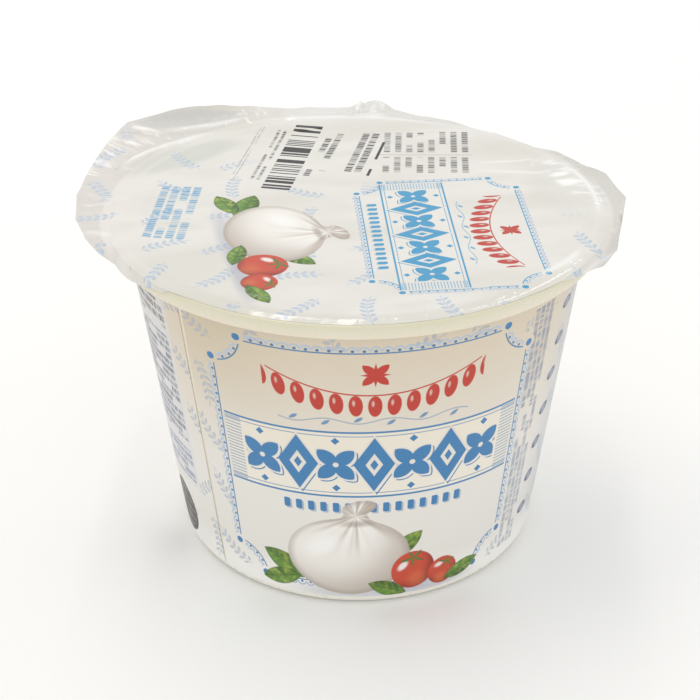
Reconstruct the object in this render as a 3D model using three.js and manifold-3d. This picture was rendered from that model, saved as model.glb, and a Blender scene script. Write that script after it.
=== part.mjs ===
import * as THREE from 'three';
import { mergeVertices } from 'three/addons/utils/BufferGeometryUtils.js';
import Module from 'manifold-3d';

// A sealed single-serve tub: a moulded plastic cup, a printed label wrapped round its
// wall, and a thin film sealed over its rim. Millimetres and degrees, +Z up. The origin
// is the centre of the base, and azimuths run from +X towards +Y.

// Cup
const rimHeight = 68;
const rimRadius = 47.5;
const rimRound = 1;
const skirtDepth = 3.2;
const skirtThickness = 1;
const flangeThickness = 1.2;
const landInnerRadius = 41.5;
const landDrop = 0.8;
const footRadius = 33.4;
const footRound = 2;
const footGrooveInner = 24;
const footGrooveOuter = 30;
const footGrooveDepth = 0.6;
const cupSegments = 96;

// Label
const labelThickness = 0.3;
const labelFoot = 2.25;
const labelFootRadius = 35.8;
const labelTop = 66.2;
const labelSkirtRadius = 44.1;
const seamAzimuth = -136.8;
const seamTopWidth = 1;
const seamFootWidth = 0.5;

// Film
const filmThickness = 0.3;
const filmSegments = 120;
const filmEdgeRadius = 47.9;
const filmEdgeRise = -0.5;
const filmDish = 0.5;
const filmRings = [0, 14, 26, 35, 41, 44.5];
const flapSteps = 5;
const rippleCount = 23;
const rippleHeight = 0.2;

// The gap that separate pieces keep where they meet
const gap = 0.3;

// How far the film's loose edge reaches past the rim, and where it stands up or hangs
// down: each entry is a smooth swell of the stated size, centred on an azimuth.
const reachSwells = [
  { name: 'peelTab', azimuth: 142.5, spread: 19.5, size: 8.1 },
  { name: 'tabCorner', azimuth: 143, spread: 3, size: 1 },
  { name: 'tabHeel', azimuth: 120, spread: 3.5, size: 1.5 },
  { name: 'leftFlap', azimuth: 174.5, spread: 26.5, size: 6.3 },
  { name: 'backFlap', azimuth: 96, spread: 40, size: 5.2 },
  { name: 'backRightFlap', azimuth: 41, spread: 10, size: 2.3 },
  { name: 'rightFlap', azimuth: 14.5, spread: 17.5, size: 4.9 },
  { name: 'frontRightFlap', azimuth: -15.5, spread: 16.5, size: 2.7 },
];
const riseSwells = [
  { name: 'peelTab', azimuth: 134, spread: 22, size: 4 },
  { name: 'backPinch', azimuth: 86, spread: 4.5, size: 1.3 },
  { name: 'backRightDroop', azimuth: 45, spread: 24, size: -1.3 },
  { name: 'frontRightDroop', azimuth: -24, spread: 13, size: -1.8 },
  { name: 'frontLeftDroop', azimuth: -156, spread: 14, size: -1.3 },
];

const wasm = await Module();
wasm.setup();

const radians = THREE.MathUtils.degToRad;
const flatRimRadius = rimRadius - rimRound;
const skirtFoot = rimHeight - skirtDepth;
const wallSlope = (labelSkirtRadius - labelFootRadius) / (skirtFoot - labelFoot);

// The label's outer radius at a height; the cup's wall lies one label and one gap inside
function labelRadius(height) {
  return labelFootRadius + wallSlope * (height - labelFoot);
}

function wallRadius(height) {
  return labelRadius(height) - labelThickness - gap;
}

function point(radius, height) {
  return new THREE.Vector2(radius, height);
}

// Points along a quarter round about a centre, between two angles
function round(radius, height, size, fromAngle, toAngle, steps = 4) {
  return Array.from({ length: steps + 1 }, (_, step) => {
    const angle = radians(fromAngle + ((toAngle - fromAngle) * step) / steps);
    return point(radius + size * Math.cos(angle), height + size * Math.sin(angle));
  });
}

// A profile of radii and heights, turned about +Z
function turned(profile, segments) {
  return new THREE.LatheGeometry(profile, segments).rotateX(Math.PI / 2);
}

function toSolid(geometry) {
  const bare = geometry.clone();
  bare.deleteAttribute('normal');
  bare.deleteAttribute('uv');
  const merged = mergeVertices(bare);
  const mesh = new wasm.Mesh({
    numProp: 3,
    vertProperties: new Float32Array(merged.attributes.position.array),
    triVerts: new Uint32Array(merged.index.array),
  });
  return new wasm.Manifold(mesh);
}

function toGeometry(solid) {
  const mesh = solid.getMesh();
  const geometry = new THREE.BufferGeometry();
  geometry.setAttribute('position', new THREE.BufferAttribute(mesh.vertProperties, 3));
  geometry.setIndex(new THREE.BufferAttribute(mesh.triVerts, 1));
  return geometry;
}

// The cup is filled to the film: its inside can't be seen, so it is solid
function cupGeometry() {
  const flangeUnder = rimHeight - flangeThickness;
  const skirtInner = rimRadius - skirtThickness;
  const profile = [
    point(0, 0),
    point(footGrooveInner, 0),
    point(footGrooveInner + footGrooveDepth, footGrooveDepth),
    point(footGrooveOuter - footGrooveDepth, footGrooveDepth),
    point(footGrooveOuter, 0),
    ...round(footRadius, footRound, footRound, -90, 0),
    point(wallRadius(footRound), footRound),
    point(wallRadius(flangeUnder), flangeUnder),
    point(skirtInner, flangeUnder),
    point(skirtInner, skirtFoot),
    point(rimRadius, skirtFoot),
    ...round(flatRimRadius, rimHeight - rimRound, rimRound, 0, 90),
    point(landInnerRadius, rimHeight),
    point(landInnerRadius - landDrop, rimHeight - landDrop),
    point(0, rimHeight - landDrop),
  ];
  return turned(profile, cupSegments);
}

// A tapered sleeve, cut through where its two ends stop short of each other
function labelGeometry() {
  const outerFoot = labelRadius(labelFoot);
  const outerTop = labelRadius(labelTop);
  const sleeve = turned([
    point(outerFoot - labelThickness, labelFoot),
    point(outerFoot, labelFoot),
    point(outerTop, labelTop),
    point(outerTop - labelThickness, labelTop),
    point(outerFoot - labelThickness, labelFoot),
  ], cupSegments);
  const seam = new THREE.Shape([
    point(-seamFootWidth / 2, labelFoot - gap),
    point(seamFootWidth / 2, labelFoot - gap),
    point(seamTopWidth / 2, labelTop + gap),
    point(-seamTopWidth / 2, labelTop + gap),
  ]);
  const slot = new THREE.ExtrudeGeometry(seam, { depth: rimRadius, bevelEnabled: false });
  slot.rotateX(Math.PI / 2).rotateZ(radians(seamAzimuth + 90));
  return toGeometry(toSolid(sleeve).subtract(toSolid(slot)));
}

// The sum of the swells at an azimuth
function swell(swells, azimuth) {
  return swells.reduce((total, each) => {
    const apart = THREE.MathUtils.euclideanModulo(azimuth - each.azimuth + 180, 360) - 180;
    return total + each.size * Math.exp(-((apart / each.spread) ** 2));
  }, 0);
}

// The film's underside height above its seal, inside the rim and out along the flap
function filmOffset(radius, azimuth, along) {
  const dish = -filmDish * (1 - Math.min(radius / landInnerRadius, 1) ** 2);
  const rise = filmEdgeRise + swell(riseSwells, azimuth);
  const ripple = rippleHeight * Math.sin(rippleCount * radians(azimuth));
  return dish + rise * along ** 1.5 + ripple * along ** 2;
}

function filmGeometry() {
  const rings = [...filmRings, flatRimRadius];
  const flap = filmEdgeRadius - flatRimRadius;
  for (let step = 1; step <= flapSteps; step += 1) {
    rings.push(flatRimRadius + (flap * step) / flapSteps);
  }
  const under = rings.map((radius) => point(radius, 0));
  const over = rings.map((radius) => point(radius, filmThickness)).reverse();
  const geometry = turned([...under, ...over], filmSegments);
  const places = geometry.attributes.position;
  const place = new THREE.Vector3();
  for (let index = 0; index < places.count; index += 1) {
    place.fromBufferAttribute(places, index);
    const angle = Math.atan2(place.y, place.x);
    const azimuth = THREE.MathUtils.radToDeg(angle);
    const flat = Math.hypot(place.x, place.y);
    const along = Math.max(0, (flat - flatRimRadius) / flap);
    const radius = flat + along * swell(reachSwells, azimuth);
    const height = rimHeight + gap + place.z + filmOffset(radius, azimuth, along);
    places.setXYZ(index, radius * Math.cos(angle), radius * Math.sin(angle), height);
  }
  return geometry;
}

function piece(name, geometry, color, roughness) {
  const material = new THREE.MeshStandardMaterial({ color, roughness, metalness: 0 });
  const mesh = new THREE.Mesh(geometry, material);
  mesh.name = name;
  return mesh;
}

const pack = new THREE.Group();
pack.add(piece('tub', cupGeometry(), '#dedac4', 0.35));
pack.add(piece('label', labelGeometry(), '#e2dacd', 0.5));
pack.add(piece('lid', filmGeometry(), '#e8e6e0', 0.2));

export default pack;
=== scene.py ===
import math
import random

import bmesh
import bpy
from mathutils import Matrix, Vector, noise


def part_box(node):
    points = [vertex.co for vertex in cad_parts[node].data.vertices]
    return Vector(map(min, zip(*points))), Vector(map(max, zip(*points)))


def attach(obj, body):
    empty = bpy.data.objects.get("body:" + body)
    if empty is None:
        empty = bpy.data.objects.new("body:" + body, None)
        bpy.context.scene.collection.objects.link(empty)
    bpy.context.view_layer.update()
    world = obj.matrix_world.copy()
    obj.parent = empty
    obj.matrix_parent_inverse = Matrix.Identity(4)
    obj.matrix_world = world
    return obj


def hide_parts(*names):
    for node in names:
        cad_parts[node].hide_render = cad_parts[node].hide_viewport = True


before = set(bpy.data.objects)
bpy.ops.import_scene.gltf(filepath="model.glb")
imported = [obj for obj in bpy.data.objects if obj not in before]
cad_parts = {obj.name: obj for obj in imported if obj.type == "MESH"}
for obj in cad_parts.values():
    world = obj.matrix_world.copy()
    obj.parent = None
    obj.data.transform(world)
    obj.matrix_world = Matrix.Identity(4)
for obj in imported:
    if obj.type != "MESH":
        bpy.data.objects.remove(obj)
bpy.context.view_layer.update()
mm = 0.001

# Millimetres and degrees throughout, with azimuths from +X towards +Y, as in the CAD model
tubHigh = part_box("tub")[1] / mm
labelLow, labelHigh = (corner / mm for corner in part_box("label"))


def linear(hexColour):
    parts = [int(hexColour[start:start + 2], 16) / 255 for start in (1, 3, 5)]
    return (*[part / 12.92 if part <= 0.04045 else ((part + 0.055) / 1.055) ** 2.4 for part in parts], 1)


def smoothStep(value, start, end):
    share = min(max((value - start) / (end - start), 0), 1)
    return share * share * (3 - 2 * share)


def colours(**named):
    return {name: linear(hexColour) for name, hexColour in named.items()}


def table(columns, *rows):
    return [dict(zip(columns.split(), row)) for row in rows]


def feed(tree, node, inputs):
    # Each input is either a constant or a field
    for key, value in inputs.items():
        if isinstance(value, Field):
            tree.links.new(value.socket, node.inputs[key])
        else:
            node.inputs[key].default_value = value


def addNode(tree, kind, inputs, **settings):
    node = tree.nodes.new("ShaderNode" + kind)
    for name, value in settings.items():
        setattr(node, name, value)
    feed(tree, node, inputs)
    return node


class Field:  # a number, colour or place that varies over a surface
    def __init__(self, socket):
        self.socket = socket
        self.tree = socket.id_data

    def math(self, operation, *others, clamp=False):
        inputs = dict(enumerate((self, *others)))
        return Field(addNode(self.tree, "Math", inputs, operation=operation, use_clamp=clamp).outputs[0])

    def __add__(self, other):
        return self.math("ADD", other)

    def __sub__(self, other):
        return self.math("SUBTRACT", other)

    def __mul__(self, other):
        return self.math("MULTIPLY", other)

    def __truediv__(self, other):
        return self.math("DIVIDE", other)

    def __neg__(self):
        return self.math("MULTIPLY", -1)

    def __abs__(self):
        return self.math("ABSOLUTE")

    def either(self, other):  # two shapes joined
        return self.math("MINIMUM", other)

    def both(self, other):  # what two shapes share
        return self.math("MAXIMUM", other)

    def melted(self, other, width):  # two shapes joined with a soft fillet
        return self.math("SMOOTH_MIN", other, width)

    def line(self, width):  # a stroke along a shape's edge
        return abs(self) - width / 2

    def ink(self, blur=0.06):  # 1 inside a shape, 0 outside
        return self.math("MULTIPLY_ADD", -0.5 / blur, 0.5, clamp=True)

    def fade(self, start, end, low=0, high=1):
        inputs = {0: self, 1: start, 2: end, 3: low, 4: high}
        return Field(addNode(self.tree, "MapRange", inputs, interpolation_type="SMOOTHSTEP").outputs[0])


class Place(Field):  # a position on a surface in millimetres, and the raw position that noise reads
    def __init__(self, socket, raw, scale):
        super().__init__(socket)
        self.raw = raw
        self.scale = scale

    def moved(self, socket):
        return Place(socket, self.raw, self.scale)

    def vector(self, operation, *others, scale=None):
        inputs = dict(enumerate((self, *others)))
        if scale is not None:
            inputs["Scale"] = scale
        return self.moved(addNode(self.tree, "VectorMath", inputs, operation=operation).outputs["Vector"])

    def joined(self, x, y, z=0):
        return self.moved(addNode(self.tree, "CombineXYZ", {0: x, 1: y, 2: z}).outputs[0])

    def along(self, x, y, z=0):
        inputs = {0: self, 1: (x, y, z)}
        return Field(addNode(self.tree, "VectorMath", inputs, operation="DOT_PRODUCT").outputs["Value"])

    def part(self, axis):
        return self.along(*((1, 0, 0), (0, 1, 0), (0, 0, 1))[axis])

    def length(self):
        return Field(addNode(self.tree, "VectorMath", {0: self}, operation="LENGTH").outputs["Value"])

    def at(self, x, y, turn=0, size=(1, 1)):
        shifted = self.vector("SUBTRACT", (x, y, 0)) if x or y else self
        if turn:
            cosine, sine = math.cos(math.radians(turn)), math.sin(math.radians(turn))
            width, height = size
            aside = shifted.along(-sine / height, cosine / height)
            return self.joined(shifted.along(cosine / width, sine / width), aside)
        return shifted if size == (1, 1) else shifted.vector("DIVIDE", (*size, 1))

    def repeated(self, pitch):  # the same motif again and again along X
        return self.vector("WRAP", (pitch / 2, 1000, 1), (-pitch / 2, -1000, -1))

    def disc(self, radius):
        return self.length() - radius

    def oval(self, x, y, halfWidth, halfHeight, turn=0):
        return (self.at(x, y, turn, (halfWidth, halfHeight)).length() - 1) * min(halfWidth, halfHeight)

    def slab(self, width, height, corner):
        reach = self.vector("ABSOLUTE").vector("SUBTRACT", (width / 2 - corner, height / 2 - corner, 0))
        return reach.vector("MAXIMUM", (0, 0, 0)).length() - corner

    def lozenge(self, halfWidth, halfHeight):
        total = self.vector("ABSOLUTE").along(1 / halfWidth, 1 / halfHeight)
        return (total - 1) * (halfWidth * halfHeight / math.hypot(halfWidth, halfHeight))

    def leaf(self, halfLength, halfWidth):  # pointed at both ends, long in X
        bend = (halfLength ** 2 + halfWidth ** 2) / (2 * halfWidth)
        return self.vector("ABSOLUTE").vector("ADD", (0, bend - halfWidth, 0)).length() - bend

    def noise(self, scale, detail=2, roughness=0.5, stretch=None):
        place = self.raw
        if stretch:
            place = addNode(self.tree, "Mapping", {"Vector": Field(place), "Scale": stretch}).outputs[0]
        inputs = {"Scale": scale * self.scale, "Detail": detail, "Roughness": roughness}
        return Field(addNode(self.tree, "TexNoise", {"Vector": Field(place), **inputs}).outputs[0])


def chance(seed):  # an even random number for each value of a field
    return Field(addNode(seed.tree, "TexWhiteNoise", {"W": seed}, noise_dimensions="1D").outputs["Value"])


class Print:  # inks laid over one another
    def __init__(self, ground):
        self.colour = ground

    def lay(self, colour, mask):
        inputs = {0: mask, 6: self.colour, 7: colour}
        self.colour = Field(addNode(mask.tree, "Mix", inputs, data_type="RGBA").outputs[2])


def newMaterial(name):
    material = bpy.data.materials.new(name)
    material.use_nodes = True
    tree = material.node_tree
    return material, tree, tree.nodes["Principled BSDF"]


def bumped(tree, height, distance, strength):
    inputs = {"Height": height, "Distance": distance * mm, "Strength": strength}
    return Field(addNode(tree, "Bump", inputs).outputs[0])


def objectPlace(tree, flat=False):
    # Object coordinates in millimetres
    raw = addNode(tree, "TexCoord", {}).outputs["Object"]
    return Place(raw, raw, 1 / mm).vector("MULTIPLY", (1 / mm, 1 / mm, 0 if flat else 1 / mm))


def rounded(corners, steps=5):
    # A profile of (radius, height, rounding) corners, each round one drawn as an arc
    points = []
    for index, (radius, height, rounding) in enumerate(corners):
        here = Vector((radius, height))
        if not rounding:
            points.append(here)
            continue
        before = (Vector(corners[index - 1][:2]) - here).normalized()
        after = (Vector(corners[index + 1][:2]) - here).normalized()
        half = before.angle(after) / 2
        centre = here + (before + after).normalized() * (rounding / math.sin(half))
        start = here + before * (rounding / math.tan(half)) - centre
        end = here + after * (rounding / math.tan(half)) - centre
        turn = math.atan2(start.x * end.y - start.y * end.x, start.dot(end))
        points += [centre + Matrix.Rotation(turn * step / steps, 2) @ start for step in range(steps + 1)]
    return points


def turnedMesh(profile, segments):
    # Spins a profile of (radius, height) points once round +Z
    shape = bmesh.new()
    verts = [shape.verts.new((radius * mm, 0, height * mm)) for radius, height in profile]
    edges = [shape.edges.new(pair) for pair in zip(verts, verts[1:])]
    bmesh.ops.spin(shape, geom=verts + edges, axis=(0, 0, 1), cent=(0, 0, 0), angle=2 * math.pi,
                   steps=segments, use_merge=True)
    bmesh.ops.remove_doubles(shape, verts=shape.verts, dist=0.001 * mm)
    bmesh.ops.recalc_face_normals(shape, faces=shape.faces)
    return shape


def newObject(name, data):
    made = bpy.data.objects.new(name, data)
    bpy.context.scene.collection.objects.link(made)
    return made


def finishPiece(shape, name, node, material):
    mesh = bpy.data.meshes.new(name)
    for face in shape.faces:
        face.smooth = True
    for edge in shape.edges:
        edge.smooth = edge.calc_face_angle(0) < math.radians(40)
    shape.to_mesh(mesh)
    shape.free()
    mesh.materials.append(material)
    piece = newObject(name, mesh)
    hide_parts(node)
    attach(piece, "root")
    print(f"made {name}: {len(mesh.polygons)} faces")
    return piece


ink = colours(
    blue="#3f80b4",
    brightBlue="#3f9bc9",
    paleBlue="#b4c6da",
    greyBlue="#9fadc0",
    slate="#6c7c9c",
    darkSlate="#4b5670",
    cream="#f6eedb",
    black="#2b2a2c",
    darkGrey="#332d2a",
    red="#c23a2b",
    tomato="#cc4a30",
    tomatoDark="#8f2418",
    tomatoGlow="#e37a4a",
    leaf="#5c8a33",
    leafLight="#a3b84e",
    leafDark="#32551f",
    cheese="#f3efe8",
    cheeseShade="#b9aca0",
    cheeseCrease="#8f7f70",
    cheeseEdge="#a3968b",
    shadow="#9a9fb8",
    white="#fbfaf6",
)
sprig = {
    "halfLength": 5.6,
    "tipStart": 3.5,
    "stemLength": 5.2,
    "stemWidth": 0.1,
    "bend": 0.035,
    "leafPitch": 0.75,
    "leafSize": (0.46, 0.6),
    "leafOut": 0.72,
    "leafSlant": 0.55,
}


def sprigs(place, spacing, spread):
    # One small bent twig in each square of a grid, moved and turned by chance
    cell = place.vector("DIVIDE", (spacing, spacing, 1))
    seed = cell.vector("FLOOR").along(7.13, 3.71)
    spot = cell.vector("FRACTION").vector("SUBTRACT", (0.5, 0.5, 0)).vector("SCALE", scale=spacing)
    x = spot.part(0) + (chance(seed + 0.17) - 0.5) * spread
    y = spot.part(1) + (chance(seed + 5.31) - 0.5) * spread
    angle = chance(seed + 9.77) * (2 * math.pi)
    cosine, sine = angle.math("COSINE"), angle.math("SINE")
    along = x * cosine + y * sine
    aside = abs(y * cosine - x * sine + along * along * sprig["bend"])
    size = abs(along).fade(sprig["halfLength"], sprig["tipStart"], -0.6, 1)
    step = (along - aside * sprig["leafSlant"]).math("WRAP", sprig["leafPitch"], -sprig["leafPitch"])
    length, width = sprig["leafSize"]
    out = sprig["leafOut"]
    leaf = (step / length) * (step / length)
    leaf = leaf + ((aside - out) / width) * ((aside - out) / width)
    stem = (aside - sprig["stemWidth"]).both(abs(along) - sprig["stemLength"])
    return ((leaf - size) * 0.5).either(stem).ink(0.12)


smallPrint = {
    "wordLength": 3.7,
    "wordShift": 0.37,  # from one row to the next
    "wordGap": 0.16,  # the share of words left out
    "letterHalf": 0.36,
    "barcodeLine": 0.42,
}


def textRows(place, width, height, pitch, weight, seed, letter=0.85):
    # Rows of short bars of uneven length, where a pack has small print
    x, y = place.part(0), place.part(1)
    row = (y / pitch).math("FLOOR")
    letters = chance((x / letter).math("FLOOR") + row * 37.1 + seed)
    word = (x / smallPrint["wordLength"] + row * smallPrint["wordShift"]).math("FLOOR")
    words = chance(word + row * 11.3 + seed)
    bars = abs((x / letter).math("FRACT") - 0.5) - smallPrint["letterHalf"]
    rows = abs((y / pitch).math("FRACT") - 0.5) * pitch - weight / 2
    mask = (bars * letter).both(rows).both(abs(x) - width / 2).both(abs(y) - height / 2).ink(0.12)
    return mask * letters.fade(0, 0.7, 0.35, 1) * words.math("GREATER_THAN", smallPrint["wordGap"])


def barcode(place, width, height):
    x, y = place.part(0), place.part(1)
    within = (abs(x) - width / 2).both(abs(y) - height / 2).ink(0.05)
    return within * chance((x / smallPrint["barcodeLine"]).math("FLOOR")).math("GREATER_THAN", 0.5)


emblem = {
    "notch": 6.0,  # radius of the ticket's hollow corners
    "cornerScallops": 5,
    "scallopRadius": 0.82,
    "tipDot": 0.75,
    "bandHeight": 15.0,
    "bandMargin": 1.2,
    "hatchMargin": 4.6,
    "pitch": 14.0,  # from one lozenge of the frieze to the next
    "lozenge": (3.8, 6.3),
    "petal": (2.5, 1.45),
    "petalReach": 1.55,
    "shadowStep": 0.55,
    "garlandHeight": 14.3,
    "garlandCurve": 0.014,
    "garlandHalf": 19.4,
    "dropPitch": 3.3,
    "bloomHeight": 20.3,
    "vineRise": 2.6,  # above the frieze
    "vineHalf": 17,
    "vineTurns": 0.55,  # radians for each millimetre
    "vineSway": 0.55,
    "barsFall": 2.7,  # below the frieze
    "barsHalf": 18,
}


def ticketSize(acrossScallops, downScallops):
    notch = emblem["notch"]
    pitch = math.pi * notch / 2 / emblem["cornerScallops"]
    return 2 * notch + acrossScallops * pitch, 2 * notch + downScallops * pitch, pitch


def ticketTips(place, acrossScallops, downScallops, centreY):
    # The distance to the nearest of the eight points where a straight edge meets a hollow
    width, height, _ = ticketSize(acrossScallops, downScallops)
    corner = place.at(0, centreY).vector("ABSOLUTE")
    notch = emblem["notch"]
    onEnd = corner.at(width / 2 - notch, height / 2).length()
    return onEnd.either(corner.at(width / 2, height / 2 - notch).length())


def ticket(place, acrossScallops, downScallops, centreY):
    # A ticket with hollow corners. Gives the distance to its edge and the way along it.
    notch = emblem["notch"]
    width, height, pitch = ticketSize(acrossScallops, downScallops)
    spot = place.at(0, centreY)
    reach = spot.vector("ABSOLUTE").vector("SUBTRACT", (width / 2, height / 2, 0))
    side, end = reach.part(0), reach.part(1)
    box = side.both(end)
    hollow = -(reach.length() - notch)
    onSide = side.math("GREATER_THAN", end)
    along = spot.part(0) + (spot.part(1) - spot.part(0)) * onSide
    curve = end.math("ARCTAN2", side) * notch + pitch / 2
    inHollow = hollow.math("GREATER_THAN", box)
    return box.both(hollow), along + (curve - along) * inHollow, pitch


def paintEmblem(paper, place, ground, band, blue, acrossScallops, downScallops, centreY):
    # A lace-edged ticket with a tile frieze, a red garland and a vine
    edge, along, pitch = ticket(place, acrossScallops, downScallops, centreY)
    paper.lay(ground, edge.ink())
    scallop = along.math("WRAP", pitch / 2, -pitch / 2)
    lace = (scallop * scallop + edge * edge).math("SQRT")
    paper.lay(ink["paleBlue"], (lace - emblem["scallopRadius"]).line(0.34).both(-edge).ink())
    paper.lay(blue, (lace - 0.3).either((edge + 0.5).line(0.28)).ink())
    tips = ticketTips(place, acrossScallops, downScallops, centreY)
    paper.lay(ground, (tips - 2 * emblem["tipDot"]).ink())
    paper.lay(blue, (tips - emblem["tipDot"]).ink())

    halfBand = emblem["bandHeight"] / 2
    halfWidth = emblem["notch"] + acrossScallops * pitch / 2
    x, y = place.part(0), place.part(1)
    inside = abs(x) - halfWidth + emblem["bandMargin"]
    paper.lay(band, (abs(y) - halfBand).both(inside).ink() * 0.55)
    fine = y.math("WRAP", 0.35, -0.35)
    hatch = (abs(fine) - 0.12).both(abs(y) - halfBand)
    hatch = hatch.both(-(abs(x) - halfWidth + emblem["hatchMargin"])).both(inside)
    paper.lay(blue, hatch.ink(0.1) * 0.75)
    rules = (abs(y) - halfBand).line(0.42).either((abs(y) - halfBand + 0.9).line(0.16))
    paper.lay(blue, rules.both(inside).ink())

    chain = inside + 4.0
    low = emblem["shadowStep"]
    half = emblem["lozenge"]
    for offset, shape in ((0, "lozenge"), (emblem["pitch"] / 2, "rosette")):
        for step, colour, grown in ((low, blue, 0.0), (0, ground, 0.35), (0, blue, 0.0)):
            spot = place.at(offset + step, -step).repeated(emblem["pitch"])
            if shape == "lozenge":
                body = spot.lozenge(*half)
            else:
                reach = emblem["petalReach"]
                body = spot.vector("ABSOLUTE").at(reach, reach, 45).leaf(*emblem["petal"])
            if step:
                body = body.line(0.26)
            paper.lay(colour, (body - grown).both(chain).ink())
        spot = place.at(offset, 0).repeated(emblem["pitch"])
        heart = spot.lozenge(half[0] * 0.42, half[1] * 0.42) if shape == "lozenge" else spot.disc(0.55)
        paper.lay(ground, heart.both(chain).ink())
    paper.lay(blue, place.repeated(emblem["pitch"]).lozenge(half[0] * 0.2, half[1] * 0.2).both(chain).ink())
    for level in (-halfBand + 2, halfBand - 2):
        beads = place.at(emblem["pitch"] / 2, level).repeated(emblem["pitch"])
        paper.lay(blue, beads.lozenge(0.8, 0.8).both(chain).ink())

    # The garland hangs from its two ends
    sag = place.joined(x, y - x * x * emblem["garlandCurve"] - emblem["garlandHeight"])
    reach = abs(x) - emblem["garlandHalf"]
    drops = sag.at(0, -0.9).repeated(emblem["dropPitch"])
    drop = drops.oval(0, 0, 1.22, 2.3)
    paper.lay(ink["red"], sag.part(1).math("SUBTRACT", 1.55).line(0.3).both(reach + 0.8).ink())
    paper.lay(ink["red"], drop.both(reach).ink())
    paper.lay(ground, drops.oval(-0.36, 0.6, 0.24, 0.6).both(reach).ink(0.1) * 0.7)
    petals = place.at(0, emblem["bloomHeight"])
    bloom = petals.vector("ABSOLUTE").at(1, 1, 45).leaf(1.7, 0.8)
    bloom = bloom.either(petals.vector("ABSOLUTE").lozenge(0.6, 2.6))
    bloom = bloom.either(petals.lozenge(2.6, 0.6))
    paper.lay(ink["red"], bloom.ink())

    # A vine between the garland and the frieze, and a row of small bars under the frieze
    rise, half = emblem["vineRise"], emblem["vineHalf"]
    wave = (x * emblem["vineTurns"]).math("SINE") * emblem["vineSway"]
    vine = (y - halfBand - rise - wave).line(0.17).both(abs(x) - half)
    buds = place.joined(x, y - halfBand - rise + wave * 0.7)
    budPitch = 2 * math.pi / emblem["vineTurns"] / 2
    buds = buds.at(budPitch / 2, 0).repeated(budPitch).at(0, 0, 35)
    paper.lay(blue, vine.either(buds.leaf(0.95, 0.36).both(abs(x) - half)).ink(0.1) * 0.85)
    bars = place.at(0, -halfBand - emblem["barsFall"])
    for step, mask in ((0.35, 0.5), (0, 1)):
        spot = bars.at(step, -step)
        row = spot.repeated(2.4).slab(1.25, 2.2, 0.3)
        row = row.both(abs(spot.at(1.2, 0).repeated(9.6).part(0)) * -1 + 0.6)
        paper.lay(blue, row.both(abs(x) - emblem["barsHalf"]).ink() * mask)


def paintLeaf(paper, place, halfLength, halfWidth, light):
    shape = place.leaf(halfLength, halfWidth)
    y = place.part(1)
    veins = (abs(y) * 0.8 - place.part(0)).math("WRAP", 0.8, -0.8)
    veins = abs(veins).fade(0.05, 0.45, 0.35, 0)
    mottle = place.noise(0.55, 2)
    body = Print(ink["leafDark"])
    body.lay(ink["leaf"], y.fade(-halfWidth, halfWidth * 0.5))
    body.lay(ink["leafLight"], (mottle.fade(0.42, 0.72) * light) + veins * 0.6)
    body.lay(ink["leafDark"], abs(y).fade(0.22, 0.05, 0, 0.55))
    body.lay(ink["leafDark"], shape.fade(-0.6, 0, 0, 0.5))
    paper.lay(body.colour, shape.ink(0.1))


def paintTomato(paper, place, radius):
    body = Print(ink["tomato"])
    lit = place.at(-0.25 * radius, 0.3 * radius).length()
    body.lay(ink["tomatoDark"], lit.fade(0.7 * radius, 1.35 * radius))
    low = place.at(0.1 * radius, -0.62 * radius).length()
    body.lay(ink["tomatoGlow"], low.fade(0.7 * radius, 0.1 * radius, 0, 0.5))
    shine = place.oval(-0.42 * radius, 0.36 * radius, 0.3 * radius, 0.17 * radius, 35)
    body.lay(ink["white"], shine.fade(0.25, -0.4, 0, 0.85))
    paper.lay(body.colour, place.disc(radius).ink(0.1))
    crown = place.at(0.12 * radius, 0.62 * radius)
    angle = crown.part(1).math("ARCTAN2", crown.part(0))
    rays = abs((angle * (5 / (2 * math.pi))).math("FRACT") - 0.5)
    star = crown.vector("MULTIPLY", (1, 1.5, 0)).length()
    star = star - (-rays * 2 + 1).math("POWER", 1.6) * (0.62 * radius) - 0.1
    paper.lay(ink["leafDark"], star.ink(0.12))
    paper.lay(ink["leaf"], (star + 0.28).ink(0.15) * 0.8)


def paintCheese(paper, place):
    # A whole tied ball of fresh cheese, 25 mm across, with folds running out from its knot
    body = place.oval(0, 0, 12.6, 9.6)
    neck = place.oval(1.6, 9.4, 2.3, 2.4)
    knot = place.oval(2.2, 12.2, 3.4, 1.7, 14)
    shape = body.melted(neck, 2.6).melted(knot, 1.0)
    paper.lay(ink["shadow"], place.oval(1.5, -9.1, 12.5, 2.0).fade(1.0, -1.3, 0, 0.4))
    tie = place.at(1.6, 10.2)
    spread = tie.length()
    angle = tie.part(0).math("ARCTAN2", -tie.part(1))
    fold = (angle * 9 + (angle * 3.7 + 1.1).math("SINE") * 1.9 + spread * 0.05).math("SINE")
    fold = (fold + (angle * 17 + (angle * 5.1).math("SINE") * 2.2).math("SINE") * 0.7) * 0.29 + 0.5
    tone = Print(ink["cheese"])
    tone.lay(ink["cheeseShade"], place.at(-4.2, 3.6, 0, (17, 13.5)).length().fade(0.32, 1.12, 0, 0.85))
    tone.lay(ink["cheeseShade"], fold.fade(0.4, 0.95) * spread.fade(13, 1.5, 0, 0.8))
    tone.lay(ink["white"], fold.fade(0.5, 0.2) * spread.fade(12, 3, 0, 0.6))
    tone.lay(ink["cheeseCrease"], place.oval(1.7, 8.3, 2.9, 0.7, 4).fade(0.5, -0.5, 0, 0.55))
    tone.lay(ink["white"], place.oval(-5.2, 2.6, 3.4, 1.9, 28).fade(1.4, -1.2, 0, 0.9))
    tone.lay(ink["cheeseEdge"], shape.fade(-1.5, 0.1, 0, 0.5))
    paper.lay(tone.colour, shape.ink(0.12))


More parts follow.
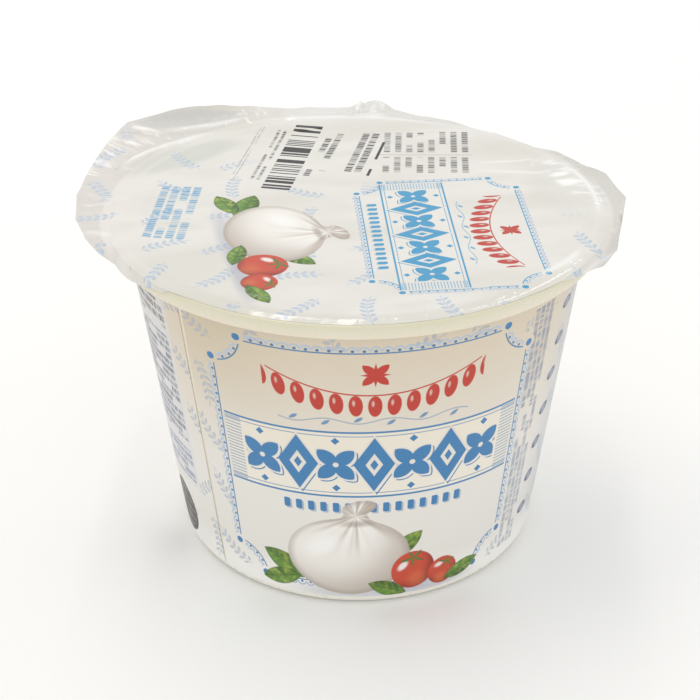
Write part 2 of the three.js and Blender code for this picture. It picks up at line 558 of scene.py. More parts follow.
def paintFood(paper, place):
    for x, y, turn, length, width, light in (
        (-13.2, -3.4, 152, 5.6, 2.5, 0.5),
        (-14.6, -7.0, 196, 4.8, 2.1, 0.9),
        (11.6, 2.2, 42, 4.6, 2.0, 0.9),
    ):
        paintLeaf(paper, place.at(x, y, turn), length, width, light)
    paintCheese(paper, place)
    paper.lay(ink["shadow"], place.oval(17.5, -9.0, 9.0, 1.6).fade(1.0, -1.0, 0, 0.5))
    paintTomato(paper, place.at(13.6, -4.4, 12), 4.7)
    paintTomato(paper, place.at(20.4, -6.2, -18), 3.4)
    for x, y, turn, length, width, light in (
        (8.2, -8.4, 160, 4.4, 1.8, 0.6),
        (25.2, -7.2, 18, 4.4, 1.8, 0.8),
    ):
        paintLeaf(paper, place.at(x, y, turn), length, width, light)


cup = {
    "rimHeight": tubHigh.z,
    "rimRadius": tubHigh.x,
    "rimRound": 0.3,
    "crownStart": 44.8,  # outside this radius the rim's top curves gently down
    "crownRadius": 6.4,
    "crownRings": (47, 46.5, 46, 45.5, 45, 44.5),
    "skirtDepth": 3.2,
    "skirtThickness": 1.0,
    "flangeThickness": 1.2,
    "landInnerRadius": 41.5,
    "landDrop": 0.8,
    "footRadius": 33.4,
    "footRound": 2.0,
    "footGroove": (24.0, 30.0),
    "footGrooveDepth": 0.6,
    "gateRadius": 1.6,  # the mark that the moulding's feed point leaves under the base
    "gateDepth": 0.35,
    "edgeRound": 0.3,
    "segments": 192,
}
plasticTone = colours(
    body="#e4dfc7",
    cloud="#e9e4d1",
    rimTop="#dedabd",
    skirtFoot="#f0e3d0",
    # foot: painted light, a paler tone near the floor against the shade that falls there
    foot="#f8f6ec",
)
skirtFoot = cup["rimHeight"] - cup["skirtDepth"]


def crownFall(radius):
    out = max(0, radius - cup["crownStart"])
    return cup["crownRadius"] - math.sqrt(cup["crownRadius"] ** 2 - out ** 2)


def makeTubPlastic():
    material, tree, shader = newMaterial("creamPlastic")
    place = objectPlace(tree)
    cloud = place.noise(0.035, 2)
    colour = Print(plasticTone["body"])
    colour.lay(plasticTone["cloud"], cloud.fade(0.3, 0.7))
    colour.lay(plasticTone["rimTop"], place.part(2).fade(66, 67.2, 0, 0.6))
    colour.lay(plasticTone["skirtFoot"], place.part(2).fade(66.4, 65, 0, 0.5))
    # Painted light: the foot turns paler near the floor, against the shade that falls there
    colour.lay(plasticTone["foot"], place.part(2).fade(5, 1.5, 0, 0.9))
    feed(tree, shader, {
        "Base Color": colour.colour,
        "Roughness": place.noise(0.5, 3).fade(0.2, 0.8, 0.24, 0.36),
        "Normal": bumped(tree, place.noise(0.4, 1), 0.03, 0.12),
    })
    return material


def makeTub():
    top = cup["rimHeight"]
    under = top - cup["flangeThickness"]
    grooveIn, grooveOut = cup["footGroove"]
    depth = cup["footGrooveDepth"]
    edge = cup["edgeRound"]
    wallFoot = wrapRadius(wrap["foot"]) - wrap["thickness"] - wrap["wallGap"]
    wallTop = wrapRadius(under) - wrap["thickness"] - wrap["wallGap"]
    profile = rounded([
        (0, cup["gateDepth"], 0),
        (cup["gateRadius"] * 0.6, cup["gateDepth"], 0.2),
        (cup["gateRadius"], 0, edge),
        (grooveIn, 0, 0.5),
        (grooveIn + depth, depth, edge),
        (grooveOut - depth, depth, edge),
        (grooveOut, 0, edge),
        (cup["footRadius"] + cup["footRound"], 0, cup["footRound"]),
        (cup["footRadius"] + cup["footRound"], cup["footRound"], 0),
        (wallFoot, wrap["foot"], 0),
        (wallTop, under, 0.5),
        (cup["rimRadius"] - cup["skirtThickness"], under, 0.4),
        (cup["rimRadius"] - cup["skirtThickness"], skirtFoot, edge),
        (cup["rimRadius"], skirtFoot, 0.4),
        (cup["rimRadius"], top - crownFall(cup["rimRadius"]), cup["rimRound"]),
        *[(radius, top - crownFall(radius), 0) for radius in cup["crownRings"]],
        (cup["landInnerRadius"], top, edge),
        (cup["landInnerRadius"] - cup["landDrop"], top - cup["landDrop"], 0),
        (0, top - cup["landDrop"], 0),
    ])
    return finishPiece(turnedMesh(profile, cup["segments"]), "cup", "tub", makeTubPlastic())


wrap = {
    "foot": labelLow.z,
    "top": labelHigh.z,
    "footRadius": 35.8,
    "skirtRadius": 44.1,  # where the wall passes the lower edge of the rim's skirt
    "thickness": 0.05,
    "seamAzimuth": -136.8,
    "seamTopWidth": 1.0,
    "seamFootWidth": 0.5,
    "wallGap": 0.008,
    "unevenness": 0.006,
    "waves": (2.2, 18),  # the unevenness: how close it is round the cup, and how tall each wave is
    "segments": 320,
    "rows": 24,
}
paperTone = colours(
    ground="#eae7e0",
    # top: partly the print's own tan gradient, partly painted shade under the rim's skirt
    top="#ddcfb8",
    leftTop="#cbbb9d",
    rightSide="#b9bdc7",
    # foot: painted light, whiter near the floor against the shade there
    foot="#faf9f4",
    textBlock="#dddde0",
)
wallSlope = (wrap["skirtRadius"] - wrap["footRadius"]) / (skirtFoot - wrap["foot"])


def wrapRadius(height):
    return wrap["footRadius"] + wallSlope * (height - wrap["foot"])


def makeLabelPaper():
    material, tree, shader = newMaterial("printedPaper")
    raw = addNode(tree, "UVMap", {}, uv_map="print").outputs[0]
    place = Place(raw, raw, 1).vector("ADD", (0, 0, 0))
    x, z = place.part(0), place.part(1)
    ground = Print(paperTone["ground"])
    # A tan that deepens towards the top: partly the print's gradient, partly painted shade under the rim's
    # skirt
    ground.lay(paperTone["top"], z.fade(22, 64, 0, 0.95))
    # A deeper tan at the upper left: partly the print's tone, partly painted shade under the rim
    ground.lay(paperTone["leftTop"], abs(x + 34).fade(28, 6) * z.fade(34, 64, 0, 0.5))
    # Painted shade: a cool grey darkening round the right side of the label, where it turns away
    ground.lay(paperTone["rightSide"], abs(x - 60).fade(22, 5, 0, 0.7))
    # Painted light: the label whitens near the floor, against the shade that falls there
    ground.lay(paperTone["foot"], z.fade(12, 3, 0, 0.9))
    paper = Print(ground.colour)
    paper.lay(ink["greyBlue"], sprigs(place.at(3, 2), 13, 2.6) * 0.6)
    turn = 2 * math.pi * wrapRadius(34)

    # Small print on the left panel, which lies past the seam, and beside the emblem on the right
    for y, height, colour, pitch, seed in (
        (57.6, 6, "black", 2.0, 5),
        (41, 24, "darkSlate", 1.6, 7),
        (22.8, 8, "slate", 1.6, 12),
    ):
        block = place.at(turn - 50, y)
        # A pale cool panel behind each block of small print: partly printed, partly painted shade towards
        # the left edge
        paper.lay(paperTone["textBlock"], block.slab(25, height + 2, 1).ink(0.6) * 0.75)
        paper.lay(ink[colour], textRows(block, 23, height, pitch, pitch * 0.7, seed, 0.62))
    stamp = place.at(turn - 48.2, 8.9)
    paper.lay(ink["darkGrey"], stamp.disc(6.0).ink())
    stripes = abs(stamp.part(1).math("WRAP", 1.1, -1.1)) - 0.2
    paper.lay(ground.colour, stamp.disc(4.9).line(0.3).either(stripes).both(stamp.disc(4.9)).ink() * 0.25)
    right = place.at(36.6, 33, 91)
    paper.lay(ground.colour, right.slab(58, 6.4, 1).ink())
    paper.lay(ink["slate"], textRows(right, 56, 5.8, 1.45, 1.1, 19, 0.5) * z.fade(20, 50, 0.8, 1))
    marks = place.at(44.1, 33.9, 87)
    within = abs(marks.part(0)) - 27
    marks = marks.repeated(7.75)
    for size, colour in ((1.0, "darkSlate"), (0.6, "paleBlue")):
        paper.lay(ink[colour], marks.oval(0, 0, 1.15 * size, 1.9 * size, 14).both(within).ink())
    paper.lay(ink["darkSlate"], marks.at(0, 0, 14).slab(0.45, 2.4, 0.15).both(within).ink())

    # The unseen back: two blocks of small print round a plain table
    back = place.at(turn / 2, 34)
    paper.lay(ground.colour, back.slab(100, 74, 2).ink())
    for offset in (-31, 31):
        paper.lay(ink["greyBlue"], textRows(back.at(offset, 0), 24, 50, 2.1, 1.05, 40 + offset))
    grid = back.slab(28, 46, 0.5).line(0.35)
    rows = abs(back.part(1).math("WRAP", 2.3, -2.3)) - 0.12
    grid = grid.either(rows.both(back.slab(28, 46, 0.5)))
    paper.lay(ink["blue"], grid.ink() * 0.8)
    paper.lay(ink["greyBlue"], textRows(back.at(-4, 0), 15, 40, 4.6, 1.4, 71))

    place = place.at(3, 35)
    paintEmblem(paper, place, ground.colour, ink["cream"], ink["blue"], 25, 23, -2.2)
    paintFood(paper, place.at(-5, -22.5))

    solid = objectPlace(tree)
    fibres = solid.noise(1.6, 4, 0.6)
    feed(tree, shader, {
        "Base Color": paper.colour,
        "Roughness": solid.noise(0.4, 2).fade(0.2, 0.8, 0.3, 0.42),
        "Normal": bumped(tree, fibres, 0.06, 0.3),
    })
    return material


def makeLabel():
    # A flat sheet bent round the cup's wall, with a gap where its two ends meet
    shape = bmesh.new()
    bmesh.ops.create_grid(shape, x_segments=wrap["segments"], y_segments=wrap["rows"], size=0.5)
    printMap = shape.loops.layers.uv.new("print")
    middle = wrapRadius((wrap["foot"] + wrap["top"]) / 2)
    seam = math.radians(wrap["seamAzimuth"])
    around, tall = wrap["waves"]
    places = {}
    for vert in shape.verts:
        along, up = vert.co.x + 0.5, vert.co.y + 0.5
        height = wrap["foot"] + (wrap["top"] - wrap["foot"]) * up
        radius = wrapRadius(height)
        seamWidth = wrap["seamFootWidth"] + (wrap["seamTopWidth"] - wrap["seamFootWidth"]) * up
        halfGap = seamWidth / 2 / radius
        angle = seam + halfGap + (2 * math.pi - 2 * halfGap) * along
        sway = noise.noise(Vector((math.cos(angle) * around, math.sin(angle) * around, height / tall)))
        radius += wrap["unevenness"] * sway
        places[vert.index] = ((angle + math.pi / 2) * middle, height)
        vert.co = Vector((radius * math.cos(angle), radius * math.sin(angle), height)) * mm
    for face in shape.faces:
        for loop in face.loops:
            loop[printMap].uv = places[loop.vert.index]
    bmesh.ops.recalc_face_normals(shape, faces=shape.faces)
    bmesh.ops.solidify(shape, geom=shape.faces, thickness=wrap["thickness"] * mm)
    return finishPiece(shape, "wrapLabel", "label", makeLabelPaper())


film = {
    "thickness": 0.07,
    "sealGap": 0.015,
    "edgeRadius": 47.15,  # where it ends at the front, just inside the rim's edge
    "flapStart": 46,
    "flapExtra": 0.9,  # what every flap adds to its swells
    "dish": 0.5,
    "sealStep": 0.2,  # how far the film sinks inside its seal
    "sealSlope": (1.3, 0.2),  # and from where to where, inside the rim's inner edge
    "looseReach": (0.1, 0.8),  # how far past edgeRadius the edge reaches where it comes loose
    "livelyReach": (0.3, 2.5),  # and where it ripples and crumples too
    "liftCurve": 1.5,
    "crownShare": 0.7,  # how much less a raised flap follows the rim's crown
    "crumple": 0.2,
    "crumpleScale": 0.2,
    "segments": 720,
    "innerRings": (0, 3.9, 11),  # where they start, how far apart they are and how many there are
    "sealRings": (39.4, 0.4, 17),
    "flapSteps": 22,
    "rippleCount": 23,
    "rippleHeight": 0.12,
    # Azimuths of the corners of its cut edge, which runs straight between them
    "corners": (-46, -37, -26, -18, 5, 19, 36, 54, 73, 82, 84.5, 87, 93, 103, 112.5, 121, 134, 143, 152,
                164.5, 173, 184, 192, 198, 203, 207, 212, 218, 224),
}
filmTone = colours(
    ground="#dfdcd4",
    cloud="#e9e7e1",
    greyCloud="#d5d5ca",
    # leftFlap: partly the film's pinkish tint, partly painted light
    leftFlap="#ece6e1",
    sunken="#d0d3c9",
    seal="#e9e6e0",
    flap="#cdccc6",
    frontRing="#d2cfc2",
    back="#f1f1f0",
    # tabHollow: painted shade in the tab's hollow
    tabHollow="#d6d6d2",
    rightSide="#cfcfc5",
    frieze="#e9e8e1",
    stretched="#fdfcfa",
    valley="#a9a59c",
)


def makeLidFilm():
    material, tree, shader = newMaterial("printedFilm")
    place = objectPlace(tree, flat=True)
    radius = place.length()
    # The fold attribute says how much painted highlight or painted shade each fold puts on the film
    fold = Field(addNode(tree, "Attribute", {}, attribute_name="fold").outputs["Fac"])
    cloud = place.noise(0.045, 3, 0.5, (0.6, 1.3, 1))
    ground = Print(filmTone["ground"])
    ground.lay(filmTone["cloud"], cloud.fade(0.35, 0.6))
    ground.lay(filmTone["greyCloud"], cloud.fade(0.56, 0.78) * radius.fade(50, 44, 0.3, 0.8))
    # The left flap turns paler and pinker: partly film tint, partly painted light
    ground.lay(filmTone["leftFlap"], place.part(0).fade(-38, -50, 0, 0.75))
    # Painted shade: a greenish grey patch inside the seal at the back left, for a shaded hollow
    ground.lay(filmTone["sunken"], place.oval(-35.5, 25, 14.5, 4.8, 41).fade(0.6, -2, 0, 0.75))
    ground.lay(filmTone["seal"], (radius - 46).line(1.4).fade(0.5, -0.5, 0, 0.4))
    flap = radius.fade(47, 50, 0, 0.35) * place.part(0).fade(-20, 20, 0.4, 1)
    ground.lay(filmTone["flap"], flap * place.part(1).fade(42, 20))
    ground.lay(filmTone["frontRing"], radius.fade(43.5, 45.5, 0, 0.4) * place.part(1).fade(-18, -40))
    ground.lay(filmTone["back"], place.part(1).fade(41, 48, 0, 0.5) * place.part(0).fade(-18, -8))
    # Painted shade: a grey patch in the peel tab's hollow
    ground.lay(filmTone["tabHollow"], place.oval(-34.5, 41.2, 13, 2.3, 25).fade(0.3, -0.5, 0, 0.85))
    # Painted shade: a darker patch on the lid's right side, against the strong light there
    ground.lay(filmTone["rightSide"], place.oval(40, 8, 14, 7, -75).fade(1, -3, 0, 0.25))
    paper = Print(ground.colour)
    scattered = sprigs(place.at(-4, 3), 13, 2.6) * (place.part(1) + place.part(0) * 0.45).fade(18, 6)
    paper.lay(ink["paleBlue"], scattered * 0.8)

    # The block of black print at the back: a barcode, a date, a weight and a table of small rows
    code = place.at(-15.1, 26.3, 79)
    paper.lay(ink["black"], barcode(code.at(0, -2.2), 33, 5.8))
    paper.lay(ink["black"], textRows(code.at(0, 2.9), 25, 1.9, 1.9, 1.2, 33) * 0.9)
    paper.lay(ink["black"], textRows(code.at(0, 7.4), 27, 0.9, 0.9, 0.45, 8) * 0.6)
    paper.lay(ink["black"], textRows(place.at(-5.6, 31.5, 77), 13, 3.2, 3.2, 2.6, 3))
    paper.lay(ink["black"], textRows(place.at(-8.6, 17.6, 77), 3.4, 5, 2.5, 1.2, 9) * 0.9)
    weight = place.at(1.2, 28, 78)
    paper.lay(ink["black"], textRows(weight, 20, 3.4, 3.4, 2.8, 27))
    rules = weight.at(1.5, -3.4).slab(9, 0.6, 0.1).either(weight.at(-9.6, -3.4).slab(3.4, 0.6, 0.1))
    paper.lay(ink["black"], rules.ink())
    for x, y, width, seed in ((14.5, 32.8, 10.4, 60), (14, 21.4, 7.8, 79)):
        rows = textRows(place.at(x, y, 88), width, 18.4, 2.3, 1.25, seed)
        paper.lay(ink["black"], rows * place.disc(44.6).ink(0.1) * 0.85)
    paper.lay(ink["black"], place.at(14.2, 26.4, -2).slab(19, 0.16, 0.05).ink() * 0.7)
    paper.lay(ink["brightBlue"], textRows(place.at(-35.2, -1.3, 86), 24, 8.4, 2.1, 1.5, 14) * 0.85)

    badge = place.at(12.2, -11, -86, (0.82, 0.82))
    paintEmblem(paper, badge, ground.colour, filmTone["frieze"], ink["brightBlue"], 25, 14, 5.9)
    paintFood(paper, place.at(-15.5, -10.5, -78, (0.98, 0.98)))

    # Painted highlights along the folds' ridges, painted shade in their valleys, and pale crinkles running
    # out at the right painted as glints
    solid = objectPlace(tree)
    spoke = place.vector("NORMALIZE").vector("SCALE", scale=12)
    spoke = spoke.joined(spoke.part(0), spoke.part(1), radius * 0.06).socket
    crinkles = Place(spoke, spoke, 1).noise(1.6, 2)
    # Painted glints: crinkles in a crescent at the right, and two short wisps
    glare = crinkles.fade(0.5, 0.6) * place.oval(43, 12.5, 11.5, 3.6, -70).fade(1.0, -1.2)
    for x, y, turn, length in ((31, 22.5, 4, 5.5), (33.5, 17, -9, 7.5)):
        glare = glare.both(place.oval(x, y, length, 0.6, turn).fade(0.4, -0.5, 0, 0.45))
    # Painted highlights on the folds' ridges and on the glints
    paper.lay(filmTone["stretched"], glare.both(fold * 0.85).either(1))
    # Painted shade in the folds' valleys
    paper.lay(filmTone["valley"], fold.fade(-0.1, -1, 0, 0.75))
    wrinkles = crinkles * radius.fade(44.5, 51) * place.part(1).fade(-44, -28)
    veil = abs(solid.noise(0.1, 2, 0.5, (1, 0.5, 1)) - 0.5).fade(0.022, 0)
    veil = veil * place.part(0).fade(-4, 18) * solid.noise(0.06, 1).fade(0.5, 0.6)
    streaks = solid.noise(0.16, 3, 0.55)
    clear = streaks.fade(0.3, 0.7, 0.8, 0.9) + scattered * 0.3 + abs(fold) * 0.2
    feed(tree, shader, {
        "Base Color": paper.colour,
        "Roughness": streaks.fade(0.2, 0.8, 0.08, 0.12) + radius.fade(46, 49, 0, 0.07),
        "Alpha": clear.both(radius.fade(52, 48.5)),
        "Normal": bumped(tree, wrinkles + veil * 0.14 + solid.noise(0.2, 2) * 0.3, 0.6, 0.7),
    })
    return material


# How far the film's loose edge reaches past the rim, and where it stands up or hangs down
reachSwells = table(
    "name azimuth spread size",
    ("peelTab", 142.5, 19.5, 8.1),
    ("tabCorner", 143, 3, 1),
    ("tabHeel", 120, 3.5, 1.5),
    ("leftFlap", 174.5, 26.5, 6.3),
    ("leftNotch", 202, 6.5, -1.2),
    ("leftTongue", 222, 5.5, 0.5),
    ("backFlap", 96, 40, 5.2),
    ("backRightFlap", 41, 10, 2.3),
    ("rightFlap", 14.5, 17.5, 4.9),
    ("frontRightFlap", -15.5, 20, 2.4),
)
riseSwells = table(
    "name azimuth spread size",
    ("peelTab", 134, 22, 4),
    ("backPinch", 85.5, 4, 1.6),
    ("backRightDroop", 45, 24, -1.3),
    ("frontRightDroop", -24, 13, -1.8),
    ("leftDroop", -164, 6, -1.4),
    ("cornerDroop", -154, 7, -2.3),
    ("frontLeftDroop", -146, 7, -1.4),
    ("lowLeftDroop", -136, 7, -0.9),
)


def swell(swells, azimuth):
    total = 0
    for each in swells:
        apart = (azimuth - each["azimuth"] + 180) % 360 - 180
        total += each["size"] * math.exp(-((apart / each["spread"]) ** 2))
    return total


def edgeAt(azimuth):
    # The radius of the film's cut edge: straight between its corners, round where it has no flap
    def flapRadius(angle):
        reach = swell(reachSwells, angle)
        return film["edgeRadius"] + reach + film["flapExtra"] * smoothStep(reach, 0.2, 2)

    corners = film["corners"]
    turn = (azimuth - corners[0]) % 360 + corners[0]
    for first, last in zip(corners, corners[1:]):
        if first <= turn < last:
            near, far = flapRadius(first), flapRadius(last)
            before, after = math.radians(turn - first), math.radians(last - turn)
            return near * far * math.sin(before + after) / (near * math.sin(before) + far * math.sin(after))
    return flapRadius(azimuth)


# Fans of small creases that run outwards between two radii, drawn by chance
creaseFans = table(
    "name from to count inner outer width height",
    ("tab", 140, 168, 4, 49, 57, (0.6, 1.2), (-0.12, 0.12)),
    ("left", 168, 204, 8, 45.5, 55, (0.8, 1.8), (-0.22, 0.25)),
    ("right", -6, 34, 26, 41, 47.5, (0.25, 0.6), (-0.16, 0.2)),
    ("back", 40, 110, 12, 46, 53, (0.6, 1.6), (-0.12, 0.16)),
    ("front", -100, -10, 16, 44, 48.5, (0.8, 1.6), (-0.03, 0.04)),
    ("pinch", 82, 91, 6, 49, 58, (0.4, 0.8), (-0.3, 0.6)),
)
creasing = {
    "seed": 11,
    "lean": (-0.6, 0.6),  # how far a crease runs sideways for each millimetre outwards
    "innerShift": (-1, 1.5),
    "outerShift": (-3, 2),
    "innerFade": 1.5,
    "outerFade": 3,
    "reach": 12,  # degrees to either side
    # tone: how much painted highlight or painted shade a crease gives for each millimetre of its height
    "tone": 1.2,
}
bellReach = 3  # beyond this many widths a bell curve counts as flat


def makeCreases():
    # Each crease is a ridge or a valley
    dice = random.Random(creasing["seed"])
    creases = []
    for fan in creaseFans:
        for _ in range(fan["count"]):
            creases.append({
                "azimuth": dice.uniform(fan["from"], fan["to"]),
                "lean": dice.uniform(*creasing["lean"]),
                "inner": fan["inner"] + dice.uniform(*creasing["innerShift"]),
                "outer": fan["outer"] + dice.uniform(*creasing["outerShift"]),
                "width": dice.uniform(*fan["width"]),
                "height": dice.uniform(*fan["height"]),
            })
    return creases


def creaseHeight(creases, radius, azimuth):
    inFade, outFade = creasing["innerFade"], creasing["outerFade"]
    total = 0
    for crease in creases:
        inner, outer = crease["inner"], crease["outer"]
        if not inner - inFade < radius < outer + outFade:
            continue
        turn = (azimuth - crease["azimuth"] + 180) % 360 - 180
        if abs(turn) > creasing["reach"]:
            continue
        aside = radius * math.radians(turn) - crease["lean"] * (radius - inner)
        if abs(aside) > bellReach * crease["width"]:
            continue
        window = smoothStep(radius, inner - inFade, inner + inFade)
        window *= 1 - smoothStep(radius, outer - outFade, outer + outFade)
        total += crease["height"] * window * math.exp(-((aside / crease["width"]) ** 2))
    return total


# Folds pressed into the film. Each is a bent line from one place to another, and its tone says
# how much painted highlight lies along its ridge, or how much painted shade lies in its valley.
filmFolds = table(
    "name from to bend width height tone",
    ("sealRidge", (-49.5, 17.5), (-29, 38), 1.7, 0.6, 0.3, 0.9),
    ("sealValley", (-49.3, 16), (-43.5, 28), 0.6, 0.35, -0.25, -0.6),
    ("tabDash", (-47.8, 29.8), (-43.6, 28.4), 0, 0.35, 0.25, 1.0),
    ("leftDash", (-52.3, 25.5), (-48.8, 23.3), 0.1, 0.45, 0.2, 0.7),
    ("leafRidge", (-47.5, 34.9), (-39.5, 33.3), 0.8, 0.6, 0.3, 0.7),
    ("leafValley", (-49.2, 31.5), (-40.2, 32.7), 1.3, 0.4, -0.25, -0.5),
    ("tabBand", (-41, 34.8), (-21.5, 46.8), -0.8, 1.0, 0.35, 0.6),
    ("bandValley", (-43.3, 33), (-24.5, 42.4), -1.1, 0.35, -0.2, -0.5),
    ("cornerFold", (-55, 21), (-48, 19.5), 0.5, 0.7, 0.2, 0.4),
    ("leftFold", (-53.5, 2), (-47, 3), 0.6, 0.5, 0.2, 0.5),
    ("lowLeftFold", (-52, -9), (-45.5, -12), 0.5, 0.8, 0.25, 0.6),
    ("backRidge", (-20, 45), (19, 41), 3.9, 0.8, 0.25, 0.6),
    ("backValley", (-16, 48.6), (30, 38), 5.0, 0.5, -0.2, -0.4),
    ("crescent", (40.5, 24), (46, -5.5), 2.5, 0.6, 0.3, 1.0),
    ("crescentShade", (42.3, 24.5), (47.6, -6), 2.4, 0.6, -0.2, -0.4),
    ("pinch", (50.6, -0.5), (49.2, -12), 0.4, 0.5, -0.4, -1.0),
    ("stripFold", (49, -14.5), (38.6, -30), 0, 0.5, 0.3, 0.5),
    ("stripShade", (50.2, -16), (40, -31.5), 0.2, 1.0, -0.25, -0.7),
    ("rimGlare", (41.5, -17.5), (31, -30.5), 1.2, 0.7, 0.12, 0.8),
)
filmHollows = table(
    "name place turn size depth",
    ("tabHollow", (-34.5, 41.2), 25, (12.5, 2.4), 0.8),
    ("leftHollow", (-50.5, 6), 80, (9, 2.4), 0.4),
    ("backHollow", (14, 50.5), -15, (10, 2), 0.3),
)


def bentLine(fold, spot):
    # 1 along the middle of a fold, fading to 0 at its sides and its two ends
    start, end = Vector(fold["from"]), Vector(fold["to"])
    run = end - start
    length = run.length
    share = (spot - start).dot(run) / length ** 2
    if not 0 < share < 1:
        return 0
    aside = (run.x * (spot.y - start.y) - run.y * (spot.x - start.x)) / length
    aside -= fold["bend"] * 4 * share * (1 - share)
    if abs(aside) > bellReach * fold["width"]:
        return 0
    taper = smoothStep(share, 0, 0.3) * (1 - smoothStep(share, 0.7, 1))
    return taper * math.exp(-((aside / fold["width"]) ** 2))


def foldAt(spot):
    # The height and the tone of the folds at a place on the film
    height, tone = 0, 0
    for fold in filmFolds:
        share = bentLine(fold, spot)
        height += fold["height"] * share
        tone += fold["tone"] * share
    for hollow in filmHollows:
        local = Matrix.Rotation(math.radians(-hollow["turn"]), 2) @ (spot - Vector(hollow["place"]))
        away = (local.x / hollow["size"][0]) ** 2 + (local.y / hollow["size"][1]) ** 2
        height -= hollow["depth"] * math.exp(-away)
    return height, tone


def makeLid():
    # A disc of film, pulled out into its flaps and tab and bent up and down
    start = film["flapStart"]
    radii = []
    for first, apart, count in (film["innerRings"], film["sealRings"]):
        radii += [first + apart * step for step in range(count)]
    radii += [start + step / film["flapSteps"] for step in range(film["flapSteps"] + 1)]
    shape = turnedMesh([(radius, 0) for radius in radii], film["segments"])
    toneLayer = shape.verts.layers.float.new("fold")
    creases = makeCreases()
    seal = cup["rimHeight"] + film["sealGap"] + film["thickness"]
    land = cup["landInnerRadius"]
    slope = [land - inside for inside in film["sealSlope"]]
    looseFrom, livelyFrom = (
        [film["edgeRadius"] + past for past in film[key]] for key in ("looseReach", "livelyReach")
    )
    edges = {}
    for vert in shape.verts:
        flat = math.hypot(vert.co.x, vert.co.y) / mm
        angle = math.atan2(vert.co.y, vert.co.x)
        azimuth = math.degrees(angle)
        key = round(azimuth, 2)
        if key not in edges:
            edges[key] = (edgeAt(azimuth), swell(riseSwells, azimuth))
        edge, rise = edges[key]
        along = max(0, flat - start)
        radius = flat + along * (edge - start - 1)
        spot = Vector((radius * math.cos(angle), radius * math.sin(angle)))
        loose = smoothStep(edge, *looseFrom)
        height = seal - film["dish"] * (1 - min(radius / land, 1) ** 2)
        height -= film["sealStep"] * (1 - smoothStep(radius, *slope))
        follows = 1 - film["crownShare"] * smoothStep(rise, 0, 2)
        height -= crownFall(min(radius, film["edgeRadius"])) * follows
        drape = max(0, radius - cup["rimRadius"]) / max(edge - cup["rimRadius"], 0.5)
        lift = rise * (along ** film["liftCurve"] if rise > 0 else drape) * loose
        lively = loose * smoothStep(edge, *livelyFrom)
        lift += film["rippleHeight"] * math.sin(film["rippleCount"] * angle) * along ** 2 * lively
        rough = noise.noise(Vector((spot.x * film["crumpleScale"], spot.y * film["crumpleScale"], 3)))
        lift += film["crumple"] * rough * along * lively
        crease = creaseHeight(creases, radius, azimuth)
        fold, tone = foldAt(spot)
        lift += crease + fold
        if radius < cup["rimRadius"] + 0.2:  # on the rim it lies on the cup, and can only stand up
            lift = max(lift, 0)
        # Painted highlight on ridges and painted shade in valleys, from the folds and creases
        vert[toneLayer] = tone + crease * creasing["tone"]
        vert.co = Vector((spot.x, spot.y, height + lift)) * mm
    bmesh.ops.recalc_face_normals(shape, faces=shape.faces)
    bmesh.ops.solidify(shape, geom=shape.faces, thickness=film["thickness"] * mm)
    return finishPiece(shape, "filmLid", "lid", makeLidFilm())


studio = {
    "floorRadius": 2.5,  # metres, as are the lights' places and sizes
    "floorGap": 0.0001,
    "floorColour": "#fdfdfc",
    "skyColour": "#ffffff",
    "skyStrength": 0.8,
    "lights": [
        {"name": "leftStrip", "place": (-0.27, 0.35, 1.12), "size": (0.085, 1.2),
         "turn": -13, "power": 1.95, "colour": "#fffbf4"},
        {"name": "rightStrip", "place": (-0.045, 0.35, 1.12), "size": (0.065, 1.2),
         "turn": -3, "power": 1.5, "colour": "#fffbf4"},
        {"name": "frontFill", "place": (0.1, -0.82, 0.72), "size": (0.9, 0.6),
         "power": 0.3, "colour": "#ffffff"},
        {"name": "coolSide", "place": (0.9, -0.25, 0.5), "size": (0.4, 0.6),
         "power": 0.2, "colour": "#e8f0ff"},
        {"name": "tabGlint", "place": (0.29, 0.64, 0.75), "size": (0.05, 0.34),
         "power": 0.2, "colour": "#ffffff"},
        {"name": "lowFront", "place": (0.15, -0.8, 0.16), "size": (1.0, 0.2),
         "power": 0.25, "colour": "#ffffff"},
    ],
}
camera = {
    "place": (0, -308.51, 208.18),
    "yaw": -0.272,
    "pitch": 29.083,
    "roll": -0.372,
    "lens": 90.44,  # on Blender's own 36 mm sensor
}


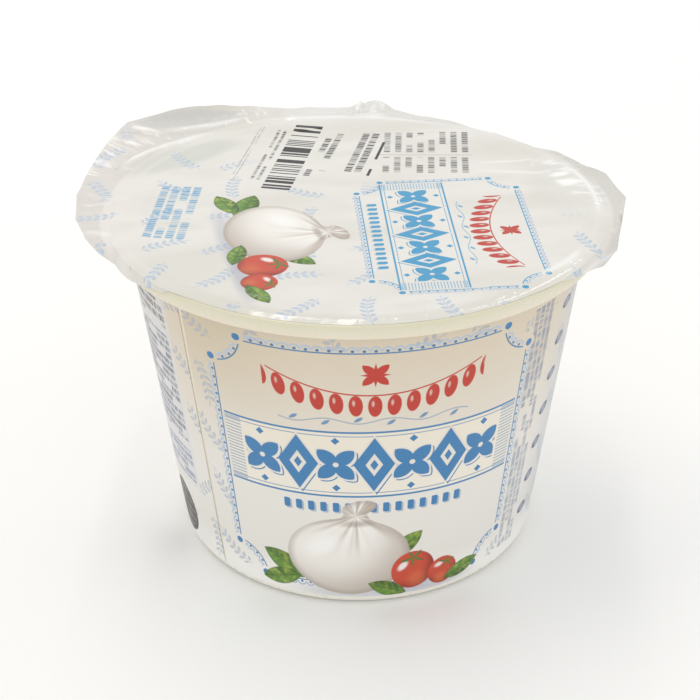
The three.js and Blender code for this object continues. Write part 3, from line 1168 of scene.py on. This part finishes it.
def makeFloor():
    shape = bmesh.new()
    bmesh.ops.create_circle(shape, cap_ends=True, radius=studio["floorRadius"], segments=96,
                            matrix=Matrix.Translation((0, 0, -studio["floorGap"])))
    mesh = bpy.data.meshes.new("floor")
    shape.to_mesh(mesh)
    shape.free()
    material, tree, shader = newMaterial("paleFloor")
    feed(tree, shader, {
        "Base Color": linear(studio["floorColour"]),
        "Roughness": 0.9,
        "Specular IOR Level": 0.1,
    })
    mesh.materials.append(material)
    newObject("floor", mesh)


def lookAt(place, target):
    return (target - place).to_track_quat("-Z", "Y").to_matrix().to_4x4()


def makeLights():
    world = bpy.data.worlds.new("studio")
    bpy.context.scene.world = world
    world.use_nodes = True
    background = world.node_tree.nodes["Background"]
    background.inputs["Color"].default_value = linear(studio["skyColour"])
    background.inputs["Strength"].default_value = studio["skyStrength"]
    target = Vector((0, 0, 0.05))
    for each in studio["lights"]:
        lamp = bpy.data.lights.new(each["name"], "AREA")
        lamp.shape = "RECTANGLE"
        lamp.size, lamp.size_y = each["size"]
        lamp.energy = each["power"]
        lamp.color = linear(each["colour"])[:3]
        place = Vector(each["place"])
        # A light with a turn hangs level like a ceiling strip, and the others face the tub
        if "turn" in each:
            facing = Matrix.Rotation(math.radians(each["turn"]), 4, "Z")
        else:
            facing = lookAt(place, target)
        newObject(each["name"], lamp).matrix_world = Matrix.Translation(place) @ facing


def makeCamera():
    yaw, pitch, roll = (math.radians(camera[key]) for key in ("yaw", "pitch", "roll"))
    turn = Matrix.Rotation(-yaw, 4, "Z") @ Matrix.Rotation(math.pi / 2 - pitch, 4, "X")
    turn = turn @ Matrix.Rotation(roll, 4, "Z")
    lens = bpy.data.cameras.new("view")
    lens.lens = camera["lens"]
    lens.clip_start = 0.01
    view = newObject("view", lens)
    view.matrix_world = Matrix.Translation(Vector(camera["place"]) * mm) @ turn
    bpy.context.scene.camera = view


makeCamera()
makeLights()
makeFloor()
makeTub()
makeLabel()
makeLid()
bpy.context.scene.view_settings.view_transform = "Standard"
print("set the stage")
